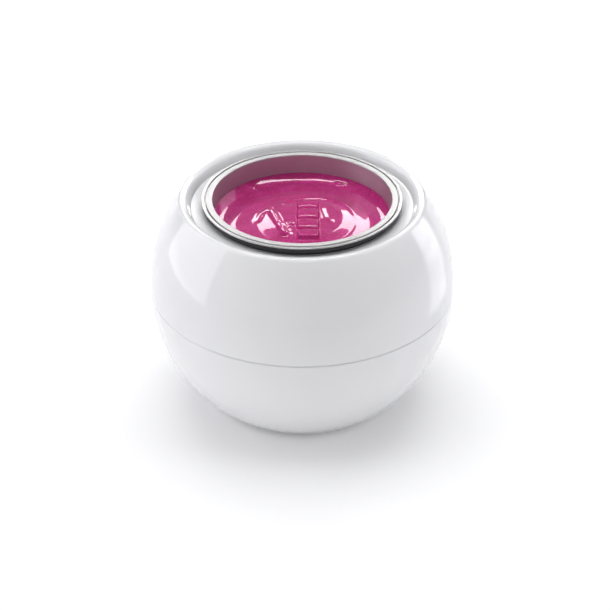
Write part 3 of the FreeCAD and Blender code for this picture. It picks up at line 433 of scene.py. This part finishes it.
class WaxSurface:
    """Height of the wax over its level, in metres, u to the camera's right and v away from it."""

    pool_centre = (-2.0 * MM, -4.2 * MM)
    pool_wave = 0.03
    pool_slope = 3.0 * MM
    mound_centre = (2.0 * MM, -3.0 * MM)
    mound_wave = 0.04
    mound_top = 12.5 * MM
    crest_inset = 0.8 * MM
    crest_width = 1.2 * MM
    ribbon_middle = 2.2 * MM
    ribbon_half = 4.5 * MM
    ribbon_front = -17.85 * MM
    ribbon_back = 13.75 * MM
    ribbon_side_fade = 0.8 * MM
    ribbon_end_fade = 2.0 * MM
    flank_inset = 0.3 * MM
    flank_fade = (0.5 * MM, 1.2 * MM)
    flank_dulled = 0.85
    pleat_pitch = 7.9 * MM
    pleat_start = 5.85 * MM
    pleat_bow = 35.0
    pleat_power = 0.6
    heap_centre = (-5.4 * MM, -7.0 * MM)
    heap_radius = 3.4 * MM
    heap_lump = 2.0 * MM
    heap_rise = 0.55 * MM
    swell_length = 9 * MM
    swell_rise = 0.06 * MM
    calm_wall = (0.2 * MM, 3.0 * MM)
    meniscus_front = 0.7
    meniscus_spread = (0.2, 0.9)
    meniscus_power = 1.5

    # Curls as points in mm, rise and width in mm; bubbles as place, width and rise in mm
    curls = (
        (((-11.8, 3.8), (-9.6, -3.8), (-6.4, -13.0)), 0.95, 1.7),
        (((-8.0, 8.6), (-11.2, 7.6), (-16.0, 2.4), (-17.3, -2.4)), 0.4, 1.3),
        (((7.4, 5.4), (8.6, -1.3), (10.6, -3.4)), 0.32, 1.3),
    )
    bubbles = (
        (14.4, 27.6, 0.8, 0.4),
        (16.6, 26.8, 0.5, 0.3),
        (-18.5, 24.8, 0.6, 0.3),
    )

    def __init__(self, look, wall):
        self.look = look
        self.wall = wall

    def rise(self, u, v):
        look = self.look
        edge = inside_edge(u, v, self.pool_centre, look.pool_radius, self.pool_wave)
        high = look.pool_rise * soft_step(edge, -self.pool_slope, self.pool_slope)
        edge = inside_edge(u, v, self.mound_centre, look.mound_radius, self.mound_wave)
        high += look.mound_rise * soft_step(edge, 0.0, look.mound_radius - self.mound_top)
        behind = soft_step(v - self.mound_centre[1], 0.0, look.mound_radius)
        high += look.crest_rise * behind * bell(edge - self.crest_inset, self.crest_width)
        high += self.ribbon(u, v)
        for line, rise, width in self.curls:
            apart = min(from_line(u / MM, v / MM, start, end) for start, end in zip(line, line[1:]))
            high += rise * MM * bell(apart, width)
        for bubble_u, bubble_v, width, rise in self.bubbles:
            high += rise * MM * bell(math.hypot(u / MM - bubble_u, v / MM - bubble_v), width)
        place = Vector((u, v, 0))
        apart = math.hypot(u - self.heap_centre[0], v - self.heap_centre[1])
        high += self.heap_rise * bell(apart, self.heap_radius) * noise.noise(place / self.heap_lump)
        return high + self.swell_rise * noise.noise(place / self.swell_length)

    def ribbon(self, u, v):
        """Ribbon of wax that was folded to and fro and is sinking in."""
        side = u - self.ribbon_middle
        fade = soft_step(self.ribbon_half - abs(side), 0.0, self.ribbon_side_fade)
        fade *= soft_step(v - self.ribbon_front, 0.0, self.ribbon_end_fade)
        fade *= soft_step(self.ribbon_back - v, 0.0, self.ribbon_end_fade)
        turn = math.pi * (v - self.pleat_start + self.pleat_bow * side * side) / self.pleat_pitch
        return self.look.pleat_rise * fade * abs(math.sin(turn)) ** self.pleat_power

    def height(self, u, v):
        radius = math.hypot(u, v)
        near, far = (part * self.wall for part in self.meniscus_spread)
        spread = self.meniscus_front + (1 - self.meniscus_front) * soft_step(v, near, far)
        width = self.look.meniscus_width * spread
        climb = max(radius - self.wall + width, 0.0) / width
        calm = soft_step(self.wall - radius, *self.calm_wall)
        return self.look.meniscus * climb**self.meniscus_power + calm * self.rise(u, v)


# Inside of the pot that the wax fills, the gaps that keep the two apart, and the steps of the wax mesh
POT_CORNER = 5 * MM
POT_DRAFT = math.radians(1.5)
WALL_GAP = 0.03 * MM
FLOOR_GAP = 0.03 * MM
CORNER_GAP = 0.02 * MM
RING_CROWDING = 0.85
SIDE_STEPS = 6
CORNER_STEPS = 8


class WARMER_OT_wax(bpy.types.Operator):
    """Model the wax in the pot, with its folds, its meniscus and its pearl"""

    bl_idname = "warmer.wax"
    bl_label = "Wax"

    def execute(self, context):
        look = context.scene.warmer_wax
        stage = context.scene.warmer_stage
        low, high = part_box("wax_fill")
        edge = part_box("wax_pot")[1].z - look.wax_drop
        level = edge - look.meniscus
        wall = high.x - WALL_GAP
        surface = WaxSurface(look, wall)
        right = Vector((math.cos(stage.camera_azimuth), math.sin(stage.camera_azimuth)))
        away = Vector((-right.y, right.x))

        def skin(x, y):
            return level + surface.height(x * right.x + y * right.y, x * away.x + y * away.y)

        mesh = bmesh.new()
        middle = mesh.verts.new((0, 0, skin(0, 0)))
        rings = []
        for ring in range(1, look.rings + 1):
            radius = wall * (ring / look.rings) ** RING_CROWDING
            rings.append(self.ring(mesh, look.spokes, radius, skin))
        for radius, height in self.below(wall, edge, level, low.z):
            rings.append(self.ring(mesh, look.spokes, radius, lambda x, y: height))
        under = mesh.verts.new((0, 0, low.z + FLOOR_GAP))
        count = look.spokes
        for index in range(count):
            after = (index + 1) % count
            mesh.faces.new((middle, rings[0][index], rings[0][after]))
            for inner, outer in zip(rings, rings[1:]):
                mesh.faces.new((inner[index], outer[index], outer[after], inner[after]))
            mesh.faces.new((under, rings[-1][after], rings[-1][index]))
        piece = new_piece("wax_pool", mesh, wax_pearl(look, right, away))
        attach(piece, "pot")
        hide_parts("wax_fill")
        return {"FINISHED"}

    def below(self, wall, edge, level, floor):
        """Radius and height of each ring down the side of the wax and round its lower corner."""
        slope = math.tan(POT_DRAFT)
        for step in range(1, SIDE_STEPS + 1):
            height = level - step * (level - floor - POT_CORNER) / SIDE_STEPS
            yield wall - (edge - height) * slope, height
        foot = wall - (edge - floor) * slope - CORNER_GAP
        for step in range(1, CORNER_STEPS + 1):
            turn = math.radians(90 * step / CORNER_STEPS)
            height = floor + FLOOR_GAP + POT_CORNER * (1 - math.sin(turn))
            yield foot - POT_CORNER * (1 - math.cos(turn)), height

    def ring(self, mesh, count, radius, height):
        points = []
        for index in range(count):
            turn = math.tau * index / count
            x = radius * math.cos(turn)
            y = radius * math.sin(turn)
            points.append(mesh.verts.new((x, y, height(x, y))))
        return points


def new_piece(name, mesh, finish):
    """Object made from a bmesh, with smooth faces and one finish."""
    for face in mesh.faces:
        face.smooth = True
    bmesh.ops.recalc_face_normals(mesh, faces=mesh.faces)
    data = bpy.data.meshes.new(name)
    mesh.to_mesh(data)
    mesh.free()
    data.materials.append(finish.material)
    piece = bpy.data.objects.new(name, data)
    bpy.context.scene.collection.objects.link(piece)
    return piece


def wax_pearl(look, right, away):
    """Melted wax: clear and deep, with drifts of pearl pigment and single bright flakes.

    Its glassy skin is dull on the flanks of the folded ribbon.
    """
    finish = Finish(
        "wax_pearl",
        {
            "IOR": 1.44,
            "Specular IOR Level": 0.15,
            "Coat Roughness": 0.04,
            "Coat IOR": 1.45,
            "Subsurface Weight": 0.12,
            "Subsurface Radius": (1.0, 0.25, 0.5),
            "Subsurface Scale": 1.5 * MM,
        },
    )
    drift = finish.limited(finish.noise(11 * MM, detail=4.0, roughness=0.55, distortion=1.6), 0.3, 0.7)
    flakes = finish.cells(look.flake_size)
    bright = finish.limited(flakes, 0.86, 1.0)
    shimmer = finish.limited(0.75 * drift + 0.35 * flakes, 0.2, 1.0)
    body = finish.blend(shimmer, tuple(look.deep), tuple(look.pearl))
    finish.set("Base Color", finish.blend(0.25 * bright, body, tuple(look.flake)))
    finish.set("Metallic", 0.05 + 0.2 * shimmer)
    finish.set("Roughness", 0.45 - 0.12 * shimmer)
    x, y = finish.axes()[:2]
    wax = WaxSurface
    side = abs(x * right.x + y * right.y - wax.ribbon_middle)
    along = x * away.x + y * away.y
    flank_middle = wax.ribbon_half - wax.flank_inset
    flank = 1.0 - finish.limited(abs(side - flank_middle), *wax.flank_fade)
    flank = flank * (along > wax.ribbon_front) * (along < wax.ribbon_back)
    finish.set("Coat Weight", 1.0 - wax.flank_dulled * flank)
    return finish


class WARMER_OT_rubber(bpy.types.Operator):
    """Finish the seal under the well's lip and the four feet"""

    bl_idname = "warmer.rubber"
    bl_label = "Seal and feet"

    def execute(self, context):
        tone = tuple(context.scene.warmer_finishes.seal)
        # Black seal: partly the silicone's own black, partly painted shade for the dark gap under the well's
        # lip.
        dress(moulded("seal_silicone_and_gap_shade", tone, 0.5, 0.3 * MM, 5e-6), "seal_ring")
        dress(moulded("foot_rubber", shade(tone, 2.6), 0.75, 0.5 * MM, 2.5e-5), "rubber_feet")
        return {"FINISHED"}


# Power mark: a ring that is open at the top by MARK_GAP to each side, with an upright bar in the opening
MARK_GAP = math.radians(38)
MARK_RADIUS = 2.5 * MM
BAR_LOW = 0.5 * MM
BAR_LENGTH = 2.9 * MM
MARK_SINK = 0.06 * MM
MARK_HALF_WIDTH = 0.3 * MM
MARK_RISE = 0.16 * MM
ARC_STEPS = 48
BAR_STEPS = 10
BEAD_SIDES = 10


class WARMER_OT_controls(bpy.types.Operator):
    """Finish the button, its light ring and its switch, and put the power mark on the button"""

    bl_idname = "warmer.controls"
    bl_label = "Button"

    def execute(self, context):
        look = context.scene.warmer_finishes
        dress(moulded("button_gloss", tuple(look.casing), 0.16, 0.9 * MM, 3e-6), "power_button")
        lit = {"Emission Strength": look.glow_strength}
        ring = moulded("ring_frosted", (0.72, 0.7, 0.72), 0.38, 0.25 * MM, 8e-6, lit)
        ring.set("Emission Color", ring.blend(ring.noise(5 * MM), shade(look.glow, 0.8), tuple(look.glow)))
        dress(ring, "light_ring")
        black = moulded("switch_black", (0.02, 0.02, 0.022), 0.45, 0.2 * MM, 6e-6)
        dress(black, "tact_switch", "switch_plunger")
        lamp = moulded("led_resin", (0.8, 0.82, 0.84), 0.1, 0.6 * MM, 2e-6, lit)
        lamp.set("Emission Color", lamp.blend(lamp.noise(2 * MM), shade(look.glow, 0.7), tuple(look.glow)))
        dress(lamp, "indicator_leds")
        self.mark(look)
        return {"FINISHED"}

    def mark(self, look):
        """Raised power mark, a broken ring with an upright bar, that follows the button's domed face."""
        press = next(joint for joint in frame["joints"] if joint["name"] == "button_press")
        outward = -Vector(press["axis"])
        across = Vector((1, 0, 0))
        upward = outward.cross(across)
        if upward.z < 0:
            upward = -upward
        crown = frame["nodes"]["power_button"].data.vertices
        top = max(vertex.co.dot(outward) for vertex in crown)
        origin = Vector(press["pos_m"])
        origin += outward * (top - origin.dot(outward))
        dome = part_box("upper_shell")[1].x
        mesh = bmesh.new()
        sweep = math.tau - 2 * MARK_GAP
        turns = [MARK_GAP + sweep * step / ARC_STEPS for step in range(ARC_STEPS + 1)]
        arc = [(MARK_RADIUS * math.sin(turn), MARK_RADIUS * math.cos(turn)) for turn in turns]
        bar = [(0.0, BAR_LOW + BAR_LENGTH * step / BAR_STEPS) for step in range(BAR_STEPS + 1)]
        for line in (arc, bar):
            points = []
            for x, y in line:
                sink = (x * x + y * y) / (2 * dome) + MARK_SINK
                points.append(origin + across * x + upward * y - outward * sink)
            bead_along(mesh, points, outward, MARK_HALF_WIDTH, MARK_RISE)
        paint = moulded("mark_paint", tuple(look.mark), 0.5, 0.2 * MM, 4e-6)
        piece = new_piece("button_mark", mesh, paint)
        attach(piece, "button")


def bead_along(mesh, points, outward, half_width, rise):
    """Low rounded bead along a line of points, closed at both ends."""
    rows = []
    for index, point in enumerate(points):
        ahead = points[min(index + 1, len(points) - 1)] - points[max(index - 1, 0)]
        side = ahead.cross(outward).normalized()
        row = []
        for step in range(BEAD_SIDES):
            turn = math.tau * step / BEAD_SIDES
            corner = side * half_width * math.cos(turn) + outward * rise * math.sin(turn)
            row.append(mesh.verts.new(point + corner))
        rows.append(row)
    for row, following in zip(rows, rows[1:]):
        for step in range(BEAD_SIDES):
            after = (step + 1) % BEAD_SIDES
            mesh.faces.new((row[step], row[after], following[after], following[step]))
    mesh.faces.new(rows[0])
    mesh.faces.new(list(reversed(rows[-1])))


class WARMER_OT_inlet(bpy.types.Operator):
    """Finish the mains inlet and its pins"""

    bl_idname = "warmer.inlet"
    bl_label = "Mains inlet"

    def execute(self, context):
        dress(moulded("inlet_nylon", (0.022, 0.022, 0.024), 0.42, 0.35 * MM, 1.4e-5), "inlet_socket")
        dress(sheet_metal("pin_nickel", (0.72, 0.69, 0.6), 0.16, 0.8 * MM), "inlet_pins")
        return {"FINISHED"}


class WARMER_OT_heater(bpy.types.Operator):
    """Finish the band heater, its strap, the shield, the chassis plate and the parts under the well"""

    bl_idname = "warmer.heater"
    bl_label = "Heater"

    def execute(self, context):
        band = sheet_metal("band_steel", (0.42, 0.4, 0.37), 0.34, 2.5 * MM)
        heat = band.noise(12 * MM, detail=3.0, distortion=1.2)
        band.set("Base Color", band.blend(heat, (0.34, 0.27, 0.2), (0.52, 0.5, 0.48)))
        dress(band, "heater_band")
        strap = sheet_metal("strap_zinc", (0.6, 0.61, 0.62), 0.24, 3.5 * MM)
        dress(strap, "band_clamp", "fuse_clip", "sensor_lug")
        dress(sheet_metal("plate_zinc", (0.58, 0.59, 0.61), 0.28, 7 * MM), "chassis_plate")
        dress(sheet_metal("shield_bright", (0.8, 0.8, 0.81), 0.16, 9 * MM), "heat_shield")
        dress(moulded("fuse_ceramic", (0.78, 0.76, 0.7), 0.35, 0.4 * MM, 8e-6), "thermal_fuse")
        return {"FINISHED"}


class WARMER_OT_fasteners(bpy.types.Operator):
    """Finish screws, nuts and washers in plated steel"""

    bl_idname = "warmer.fasteners"
    bl_label = "Screws and nuts"

    def execute(self, context):
        plated = sheet_metal("screw_zinc", (0.52, 0.53, 0.55), 0.24, 0.9 * MM)
        dress(plated, "chassis_screws", "base_screws", "board_screws", "button_screws")
        dress(plated, "clamp_screw", "clamp_nut", "stud_washer", "stud_nut", "sensor_nut")
        return {"FINISHED"}


class WARMER_OT_electronics(bpy.types.Operator):
    """Finish the two boards and what stands on them"""

    bl_idname = "warmer.electronics"
    bl_label = "Boards"

    def execute(self, context):
        dress(circuit_board("board_resist"), "power_board", "button_board")
        dress(moulded("relay_case", (0.018, 0.02, 0.024), 0.38, 0.3 * MM, 5e-6), "relay")
        dress(moulded("capacitor_box", (0.7, 0.45, 0.06), 0.28, 0.5 * MM, 5e-6), "filter_capacitor")
        dress(moulded("terminal_nylon", (0.72, 0.72, 0.7), 0.4, 0.3 * MM, 6e-6), "terminal_blocks")
        dress(moulded("connector_nylon", (0.8, 0.78, 0.71), 0.42, 0.3 * MM, 6e-6), "board_connectors")
        return {"FINISHED"}


class WARMER_OT_leads(bpy.types.Operator):
    """Finish the leads inside the casing"""

    bl_idname = "warmer.leads"
    bl_label = "Leads"

    def execute(self, context):
        dress(insulation("lead_red", (0.4, 0.03, 0.025)), "mains_leads", "heater_leads")
        dress(insulation("lead_white", (0.72, 0.71, 0.67)), "sensor_lead", "button_cable")
        return {"FINISHED"}


class Lamp(NamedTuple):
    """Rectangular lamp that faces the ball or stands upright, in degrees and metres.

    Its azimuth turns from the camera to the camera's right. It is used for light or for gloss.
    """

    name: str
    light: str
    use: str
    azimuth: float
    elevation: float
    distance: float
    width: float
    height: float
    tint: tuple = (1.0, 1.0, 1.0)
    upright: bool = False
    roll: float = 0.0


COOL = (0.94, 0.94, 1.0)
LEAN = -13
LAMPS = (
    Lamp("back_card", "back_light", "gloss", 180, 70, 0.95, 0.6, 0.065),
    Lamp("right_card", "card_light", "gloss", 164, 29, 0.9, 0.22, 0.28),
    Lamp("left_card", "card_light", "gloss", -164, 29, 0.9, 0.22, 0.28),
    Lamp("top_box", "top_light", "light", 180, 75, 0.95, 1.0, 1.0),
    Lamp("front_box", "front_light", "light", -12, 6, 10.0, 16.0, 5.0),
    Lamp("left_panel", "panel_light", "gloss", -94, 26.7, 0.56, 0.47, 0.6, COOL, True),
    Lamp("left_box", "left_light", "light", -94, 26.7, 10.0, 8.4, 10.7, COOL, True),
    Lamp("right_box", "right_light", "light", 100, 8, 10.0, 7.75, 7.5, COOL),
    Lamp("glow_card", "glow_light", "gloss", 140, 38, 0.8, 0.4, 0.3, COOL),
    Lamp("side_card", "side_light", "gloss", 101.7, -0.7, 0.151, 0.06, 0.124, COOL, True, LEAN),
    Lamp("side_upper", "upper_light", "gloss", 102.8, 13.4, 0.156, 0.058, 0.05, COOL, True, LEAN),
    Lamp("side_top", "corner_light", "gloss", 103.9, 17.2, 0.159, 0.058, 0.028, COOL, True, LEAN),
)

# Plain light: where its bright side lies, how it falls off behind, and how much is left overhead
FILL_TURN = math.radians(-15)
FILL_END = -0.6
FILL_POWER = 1.6
FILL_TOP = 0.5
TOP_LOSS = 0.9

FLOOR_RADII = (0.25, 0.6, 1.2, 2.0, 3.2, 5.0, 9.0, 30.0)
FLOOR_SPOKES = 96
SEEN_RAYS = ("Is Camera Ray", "Is Glossy Ray", "Is Transmission Ray")


class WARMER_OT_stage(bpy.types.Operator):
    """Set the camera, the soft boxes, the plain light and the floor"""

    bl_idname = "warmer.stage"
    bl_label = "Stage"

    def execute(self, context):
        look = context.scene.warmer_stage
        context.scene.view_settings.view_transform = "Standard"
        self.camera(context.scene, look)
        for lamp in LAMPS:
            self.soft_box(lamp, look)
        self.surroundings(context.scene, look)
        self.floor(look)
        return {"FINISHED"}

    def direction(self, azimuth, elevation):
        """Unit vector out from the ball, azimuth turning to the right of the front."""
        flat = math.cos(elevation)
        return Vector((math.sin(azimuth) * flat, -math.cos(azimuth) * flat, math.sin(elevation)))

    def camera(self, scene, look):
        centre = Vector((0, 0, look.ball_height))
        out = self.direction(look.camera_azimuth, look.camera_elevation)
        right = Vector((math.cos(look.camera_azimuth), math.sin(look.camera_azimuth), 0))
        upward = out.cross(right)
        scale = look.camera_distance / look.focal_pixels
        aim = centre + right * look.look_right * scale - upward * look.look_down * scale
        data = bpy.data.cameras.new("photo_camera")
        data.sensor_width = SENSOR_WIDTH
        data.lens = look.focal_pixels / FRAME_PIXELS * SENSOR_WIDTH
        data.clip_start = CLIP_START
        camera = bpy.data.objects.new("photo_camera", data)
        camera.location = centre + out * look.camera_distance
        camera.rotation_euler = (aim - camera.location).to_track_quat("-Z", "Y").to_euler()
        scene.collection.objects.link(camera)
        scene.camera = camera

    def soft_box(self, lamp, look):
        azimuth = look.camera_azimuth + math.radians(lamp.azimuth)
        out = self.direction(azimuth, math.radians(lamp.elevation))
        faced = self.direction(azimuth, 0.0) if lamp.upright else out
        data = bpy.data.lights.new(lamp.name, "AREA")
        data.shape = "RECTANGLE"
        data.size = lamp.width
        data.size_y = lamp.height
        data.energy = getattr(look, lamp.light) * math.pi * lamp.width * lamp.height
        data.color = lamp.tint
        piece = bpy.data.objects.new(lamp.name, data)
        piece.location = Vector((0, 0, look.ball_height)) + out * lamp.distance
        turn = (-faced).to_track_quat("-Z", "Y") @ Quaternion((0, 0, 1), math.radians(lamp.roll))
        piece.rotation_euler = turn.to_euler()
        piece.visible_camera = False
        piece.visible_diffuse = lamp.use == "light"
        piece.visible_glossy = lamp.use == "gloss"
        bpy.context.scene.collection.objects.link(piece)

    def surroundings(self, scene, look):
        """Plain light from all round, brightest from behind the camera and dim overhead."""
        world = bpy.data.worlds.new("studio")
        world.use_nodes = True
        scene.world = world
        sky = Finish("studio", {}, world.node_tree, "Background")
        place = sky.node("ShaderNodeTexCoord", output="Generated")
        bright = self.direction(look.camera_azimuth + FILL_TURN, 0.0)
        facing = {"operation": "DOT_PRODUCT"}
        towards = sky.node("ShaderNodeVectorMath", facing, {0: place, 1: bright}, "Value")
        height = sky.node("ShaderNodeSeparateXYZ", None, {0: place}, "Z")
        level = sky.limited(towards, FILL_END, 1.0) ** FILL_POWER
        level = level * (1 - TOP_LOSS * sky.limited(height, 0.0, FILL_TOP))
        dark = (look.fill_dark,) * 3
        sky.set("Color", sky.blend(level, dark, (look.fill_bright,) * 3))

    def floor(self, look):
        """Pale floor that runs far out, with some white where it is seen."""
        mesh = bmesh.new()
        turns = [math.tau * index / FLOOR_SPOKES for index in range(FLOOR_SPOKES)]
        rings = []
        for radius in FLOOR_RADII:
            rings.append([mesh.verts.new((radius * math.cos(t), radius * math.sin(t), 0)) for t in turns])
        mesh.faces.new(rings[0])
        for inner, outer in zip(rings, rings[1:]):
            for index in range(FLOOR_SPOKES):
                after = (index + 1) % FLOOR_SPOKES
                mesh.faces.new((inner[index], outer[index], outer[after], inner[after]))
        constants = {"Roughness": 0.85, "Specular IOR Level": 0.2, "Emission Strength": look.floor_lift}
        finish = Finish("floor_paper", constants)
        rays = finish.node("ShaderNodeLightPath").socket.node.outputs
        camera, glossy, through = (Value(finish, rays[name]) for name in SEEN_RAYS)
        finish.set("Emission Color", camera + glossy + through)
        fibre = finish.noise(1.5 * MM, detail=3.0)
        finish.set("Base Color", finish.blend(fibre, shade(look.floor, 0.995), tuple(look.floor)))
        floor = new_piece("floor", mesh, finish)


class WARMER_PT_sidebar(bpy.types.Panel):
    """Sizes, colours and steps of the wax warmer"""

    bl_idname = "WARMER_PT_sidebar"
    bl_label = "Wax warmer"
    bl_space_type = "VIEW_3D"
    bl_region_type = "UI"
    bl_category = "Wax warmer"

    def draw(self, context):
        for group in GROUPS:
            box = self.layout.box()
            look = getattr(context.scene, group)
            for name in GROUPS[group].__annotations__:
                box.prop(look, name)
        for step in STEPS:
            self.layout.operator(step.bl_idname)


GROUPS = {"warmer_finishes": WarmerFinishes, "warmer_wax": WarmerWax, "warmer_stage": WarmerStage}
STEPS = (
    WARMER_OT_casing,
    WARMER_OT_metalware,
    WARMER_OT_wax,
    WARMER_OT_rubber,
    WARMER_OT_controls,
    WARMER_OT_inlet,
    WARMER_OT_heater,
    WARMER_OT_fasteners,
    WARMER_OT_electronics,
    WARMER_OT_leads,
    WARMER_OT_stage,
)
CLASSES = (*GROUPS.values(), *STEPS, WARMER_PT_sidebar)


def register():
    for kind in CLASSES:
        bpy.utils.register_class(kind)
    for name, kind in GROUPS.items():
        setattr(bpy.types.Scene, name, PointerProperty(type=kind))


def unregister():
    for name in GROUPS:
        delattr(bpy.types.Scene, name)
    for kind in reversed(CLASSES):
        bpy.utils.unregister_class(kind)


def main():
    register()
    for step in STEPS:
        group, name = step.bl_idname.split(".")
        getattr(getattr(bpy.ops, group), name)()


if __name__ == "__main__":
    main()
